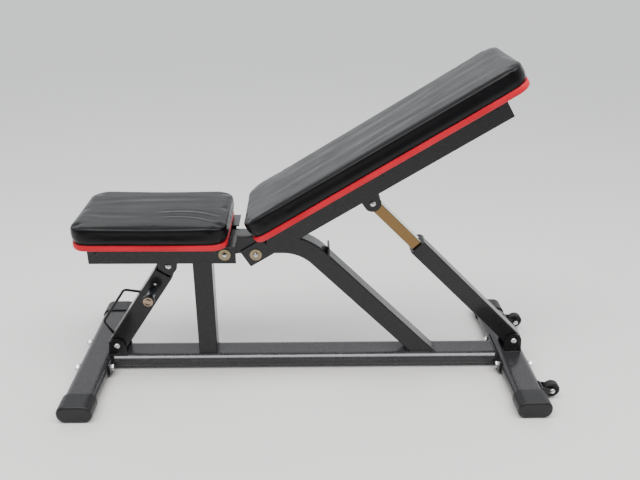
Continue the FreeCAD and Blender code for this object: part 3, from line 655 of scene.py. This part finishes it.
def band_profile():
    """(outward, up) points round the red band's section, from its tucked foot to its seam."""
    return [(-0.010, 0.0002), (-0.0035, 0.0), (-0.0005, 0.0006), (0.0011, 0.0025), (0.0017, 0.006),
            (0.0018, 0.0095), (0.0013, 0.0128), (0.0004, 0.0149), (-0.0012, BAND_H),
            (-0.004, BAND_H - 0.0004), (-0.010, BAND_H - 0.004)]


def red_band(name, outline, low):
    """The red band round the cushion's foot, not quite even along its length."""
    rings = []
    for p, n in outline:
        wave = 0.0004 * noise.noise(Vector((p.x * 16, p.y * 16, 3.1)))
        rise = 0.0005 * noise.noise(Vector((p.x * 12, p.y * 12, 8.4)))
        rings.append([Vector((p.x + n.x * (d + wave), p.y + n.y * (d + wave), low + h + rise * h / BAND_H))
                      for d, h in band_profile()])
    return new_object(name, *rings_mesh(rings, close_loop=True), RED_VINYL)


def stitches(name, outline, low):
    """Short thread stitches just above the band's seam."""
    parts = []
    for (p, n), (q, _) in zip(outline, outline[1:]):
        ahead = (q - p).normalized()
        start = Vector((p.x + n.x * 0.0004, p.y + n.y * 0.0004, low + BAND_H + 0.0021))
        points = [start + Vector((ahead.x, ahead.y, 0)) * STITCH_L * k for k in (0.0, 0.2, 0.5, 0.8, 1.0)]
        lift = (-0.0003, 0.0002, 0.0004, 0.0002, -0.0003)
        points = [c + Vector((n.x, n.y, 0)) * h for c, h in zip(points, lift)]
        parts.append(tube_along(points, lambda k: THREAD_R, 6))
    return new_object(name, *merged(parts), THREAD)


def hem(name, outline, low, covered):
    """The cover's edge folded under the board, gathered in small pleats, left out where steel lies on it."""
    vertices, faces = [], []
    count = len(outline)
    for i in range(count):
        (p, n), (q, m) = outline[i], outline[(i + 1) % count]
        if covered((p + q) / 2 - (n + m) * 0.009):
            continue
        cells = []
        for point, normal in ((p, n), (q, m)):
            pleat = 0.0005 * noise.noise(Vector((point.x * 120, point.y * 120, 0)))
            jag = 0.0015 * noise.noise(Vector((point.x * 45, point.y * 45, 5)))
            for d in (HEM_OUTER, (HEM_INNER + HEM_OUTER) / 2, HEM_INNER + jag):
                at = point + normal * d
                drop = HEM_T + abs(pleat) * (2 if d < HEM_OUTER else 1)
                cells += [(at.x, at.y, low - drop), (at.x, at.y, low + 0.0001)]
        a = len(vertices)
        vertices += cells
        under = [(0, 2, 8, 6), (2, 4, 10, 8)]
        above = [(1, 7, 9, 3), (3, 9, 11, 5)]
        rim = [(0, 6, 7, 1), (4, 5, 11, 10), (0, 1, 3, 2), (2, 3, 5, 4), (6, 8, 9, 7), (8, 10, 11, 9)]
        faces += [tuple(k + a for k in f) for f in under + above + rim]
    obj = new_object(name, vertices, faces, BLACK_LEATHER)
    bm = bmesh.new()
    bm.from_mesh(obj.data)
    bmesh.ops.remove_doubles(bm, verts=bm.verts, dist=0.00001)
    inside = [f for f in bm.faces if all(len(e.link_faces) > 2 for e in f.edges)]
    bmesh.ops.delete(bm, geom=inside, context="FACES_ONLY")
    bmesh.ops.recalc_face_normals(bm, faces=bm.faces)
    bm.to_mesh(obj.data)
    bm.free()
    return obj


def staples(name, outline, low, covered):
    """Wire staples through the hem, left out where steel lies on it."""
    parts = []
    for p, n in outline[STAPLE_EVERY // 2::STAPLE_EVERY]:
        if covered(p - n * 0.018) or covered(p - n * 0.012):
            continue
        side = Vector((-n.y, n.x))
        at = p - n * STAPLE_INSET
        ends = [at - side * STAPLE_HALF, at + side * STAPLE_HALF]
        z = low - 0.0021
        line = [Vector((*ends[0], z + 0.0017)), Vector((*ends[0], z + 0.0003)),
                Vector((*(ends[0].lerp(ends[1], 0.06)), z)), Vector((*(ends[0].lerp(ends[1], 0.94)), z)),
                Vector((*ends[1], z + 0.0003)), Vector((*ends[1], z + 0.0017))]
        parts.append(tube_along(line, lambda k: STAPLE_WIRE_R, 6, up=Vector((n.x, n.y, 0))))
    return new_object(name, *merged(parts), ZINC)


def cushion(prefix, node, place, body, creases, covered):
    """One upholstered cushion: black cover, red band, stitches, folded hem and staples."""
    lo, hi = local_box(node, place)
    low, high = lo.z, hi.z
    rings = cushion_rings(lo.x + COVER_INSET, hi.x - COVER_INSET, lo.y + COVER_INSET, hi.y - COVER_INSET,
                          low + 0.004, high - COVER_INSET)
    cover = new_object(prefix + "_cushion", *rings_mesh(rings), BLACK_LEATHER)
    remesh(cover, VOXEL)
    swell(cover, low + HELD_H)
    cover.modifiers.new("Smooth", "SMOOTH").iterations = 2
    cover.modifiers.new("Subdivision", "SUBSURF").levels = 1
    bake(cover)
    fit_box(cover.data, lo, hi)
    wrinkle(cover.data, ((lo.x, hi.x), (lo.y, hi.y)), creases, low, high)
    cover.data.materials.clear()
    cover.data.materials.append(BLACK_LEATHER)
    cover.data.shade_smooth()
    outline = rounded_outline(lo.x + BAND_INSET, hi.x - BAND_INSET, lo.y + BAND_INSET, hi.y - BAND_INSET,
                              PAD_PLAN_R - BAND_INSET, OUTLINE_STEP)
    pieces = {
        prefix + "_red_band": red_band(prefix + "_red_band", outline, low),
        prefix + "_stitching": stitches(prefix + "_stitching", outline, low),
        prefix + "_hem": hem(prefix + "_hem", outline, low, covered),
        prefix + "_staples": staples(prefix + "_staples", outline, low, covered)}
    place_on(cover, place, body)
    for name, obj in pieces.items():
        place_on(obj, place, body)
    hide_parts(node)


def steel_under(place, *nodes):
    """A test for whether a point of the cushion's underside lies on one of these steel nodes."""
    margin = 0.002
    boxes = []
    for node in nodes:
        lo, hi = local_box(node, place)
        spans = wing_spans(node, place) if node.endswith("wings") else [(lo.x, hi.x)]
        boxes += [(start, end, lo.y, hi.y) for start, end in spans]
    return lambda p: any(a - margin < p.x < b + margin and c - margin < p.y < d + margin
                         for a, b, c, d in boxes)


# each fold: start, end, bow, width and depth, from the cushion's middle
SEAT_CREASES = [((0.02, -0.03), (0.16, -0.055), 0.016, 0.006, 0.0008),
                ((0.03, -0.06), (0.15, -0.085), 0.012, 0.005, 0.00065),
                ((-0.15, 0.03), (0.1, 0.05), 0.006, 0.012, 0.0005),
                ((-0.16, -0.05), (-0.03, -0.06), -0.006, 0.01, 0.0004)]
BACK_CREASES = [((-0.33, -0.05), (0.1, -0.035), 0.008, 0.014, 0.0005),
                ((-0.3, 0.04), (0.2, 0.05), -0.007, 0.016, 0.0005),
                ((-0.05, -0.085), (0.3, -0.08), 0.006, 0.012, 0.00035),
                ((0.12, 0.01), (0.34, 0.02), 0.006, 0.014, 0.00035)]


# ---- small parts --------------------------------------------------------------------------
SLOT_MIDDLE_R, SLOT_W, SLOT_SWEEP = 0.0077, 0.0034, 95
RIVET_ALONG, RIVET_UP = 0.223, 0.004


def turned(name, profile, place, body, material, sides=48):
    """Solid of revolution about local +Y from (radius, along) points, with its ends closed."""
    rings = [[Vector((r * cos(a), h, r * sin(a))) for a in (2 * pi * k / sides for k in range(sides))]
             for r, h in profile]
    obj = new_object(name, *rings_mesh(rings), material)
    smooth_by_angle(obj, TURNED_SHARP)
    return place_on(obj, place, body)


def knob_face(prefix, place, side, body):
    """Tan disc with two curved slots, let into the outer face of a pull knob."""
    lo, hi = local_box(prefix + "_pin_knob", place)
    centre = (lo + hi) / 2
    face = lo.y if side < 0 else hi.y
    at = place @ Matrix.Translation((centre.x, face, centre.z)) @ Matrix.Scale(side, 4, (0, 1, 0))
    profile = [(0.0125, -0.002), (0.0128, 0.0002), (0.0124, 0.0007), (0.011, 0.00085), (0.006, 0.0011),
               (0.001, 0.0012)]
    obj = turned(prefix + "_knob_disc", profile, at, body, TAN)
    repair_normals(obj.data)
    for k, start in enumerate((-30, 150)):
        arc_slot("%s_knob_slot_%d" % (prefix, k), start, (0.0, 0.0014), at, body)


def arc_slot(name, start, heights, place, body):
    """Dark curved slot in a disc's face, drawn in the plane across local Y."""
    inner, outer = SLOT_MIDDLE_R - SLOT_W / 2, SLOT_MIDDLE_R + SLOT_W / 2
    section = [(inner, heights[0]), (outer, heights[0]), (outer, heights[1]), (inner, heights[1])]
    rings = []
    for k in range(13):
        a = radians(start + SLOT_SWEEP * k / 12)
        rings.append([Vector((r * cos(a), h, r * sin(a))) for r, h in section])
    obj = new_object(name, *rings_mesh(rings), BLACK_PLASTIC, False)
    place_on(obj, place, body)


def strut_rivet():
    """Small rivet on the seat strut's near face, above the pull pin."""
    lo, _ = local_box("seat_strut_outer", SEAT_STRUT)
    at = SEAT_STRUT @ Matrix.Translation((RIVET_ALONG, lo.y, RIVET_UP)) @ Matrix.Scale(-1, 4, (0, 1, 0))
    profile = [(0.0034, -0.0005), (0.0034, 0.0004), (0.003, 0.0011), (0.0018, 0.0017), (0.0004, 0.0019)]
    obj = turned("strut_rivet", profile, at, "seat_outer", ZINC, 24)
    repair_normals(obj.data)


# ---- light, floor and camera --------------------------------------------------------------
CAMERA_AT = Vector((-0.0330, -1.5841, 1.1277))
CAMERA_DOWN, CAMERA_YAW, CAMERA_ROLL = radians(25.35), radians(1.89), radians(0.65)
LENS, SENSOR = 38.0, 36.0
SKY_COLOUR = (0.93, 0.95, 0.97, 1.0)
SKY_TURN = 0.8            # the sky's strength changes over this much of its Y direction, either way
SKY_NEAR, SKY_FAR = 0.5, 1.65
# each light: place, aim, width, depth, power in watts and colour
OVERHEAD = ((0.0, -0.75, 2.8), (0.0, -0.74, 0.2), 5.0, 1.2, 130.0, (1.0, 0.985, 0.96))
SHEEN = ((0.0, -1.5, 2.5), (0.0, 0.0, 0.1), 5.0, 1.9, 520.0, (0.95, 0.975, 1.0))
FLOOR_HALF = 12.0


def add_camera():
    data = bpy.data.cameras.new("camera")
    data.lens, data.sensor_width = LENS, SENSOR
    data.clip_start, data.clip_end = 0.05, 60.0
    camera = bpy.data.objects.new("camera", data)
    SCENE.collection.objects.link(camera)
    level = cos(CAMERA_DOWN)
    ahead = Vector((sin(CAMERA_YAW) * level, cos(CAMERA_YAW) * level, -sin(CAMERA_DOWN)))
    right = Vector((cos(CAMERA_YAW), -sin(CAMERA_YAW), 0.0))
    up = right.cross(ahead)
    x = right * cos(CAMERA_ROLL) + up * sin(CAMERA_ROLL)
    y = up * cos(CAMERA_ROLL) - right * sin(CAMERA_ROLL)
    camera.matrix_world = Matrix.Translation(CAMERA_AT) @ Matrix((x, y, -ahead)).transposed().to_4x4()
    SCENE.camera = camera


def add_area(name, at, aim, size_x, size_y, power, colour):
    """A rectangular light that points from at to aim."""
    light = bpy.data.lights.new(name, "AREA")
    light.shape, light.size, light.size_y = "RECTANGLE", size_x, size_y
    light.energy, light.color = power, colour
    obj = bpy.data.objects.new(name, light)
    SCENE.collection.objects.link(obj)
    obj.location = at
    obj.rotation_mode = "QUATERNION"
    obj.rotation_quaternion = (Vector(aim) - Vector(at)).to_track_quat("-Z", "Y")
    return obj


def add_studio():
    """Soft sky, brighter behind the bench, an overhead light, a light for the low tubes, and the floor."""
    world = bpy.data.worlds.new("studio")
    SCENE.world = world
    world.use_nodes = True
    background = world.node_tree.nodes["Background"]
    background.inputs["Color"].default_value = SKY_COLOUR
    nodes, links = world.node_tree.nodes, world.node_tree.links
    split = nodes.new("ShaderNodeSeparateXYZ")
    links.new(nodes.new("ShaderNodeTexCoord").outputs["Generated"], split.inputs[0])
    ramp = nodes.new("ShaderNodeMapRange")
    links.new(split.outputs["Y"], ramp.inputs["Value"])
    for key, number in (("From Min", -SKY_TURN), ("From Max", SKY_TURN),
                        ("To Min", SKY_NEAR), ("To Max", SKY_FAR)):
        ramp.inputs[key].default_value = number
    links.new(ramp.outputs["Result"], background.inputs["Strength"])
    add_area("overhead", *OVERHEAD)
    sheen = add_area("sheen", *SHEEN)
    shining = bpy.data.collections.new("low_tubes")
    for name in ("base_rail", "front_foot_tube", "rear_foot_tube"):
        shining.objects.link(frame["nodes"][name])
    sheen.light_linking.receiver_collection = shining
    floor = new_object("floor", box_loop(-FLOOR_HALF, FLOOR_HALF, -FLOOR_HALF, FLOOR_HALF, 0),
                       [(0, 1, 2, 3)], floor_material(), False)


dress_nodes()
base_welds()
upper_welds()
cushion("seat", "seat_pad", SEAT_FRAME, "seat", SEAT_CREASES,
        steel_under(SEAT_FRAME, "seat_frame", "seat_wings"))
cushion("backrest", "backrest_pad", BACK_FRAME, "backrest", BACK_CREASES,
        steel_under(BACK_FRAME, "backrest_frame", "backrest_wings"))
knob_face("seat", SEAT_STRUT, -1, "seat_pin")
knob_face("back", BACK_STRUT, 1, "back_pin")
strut_rivet()
add_camera()
add_studio()
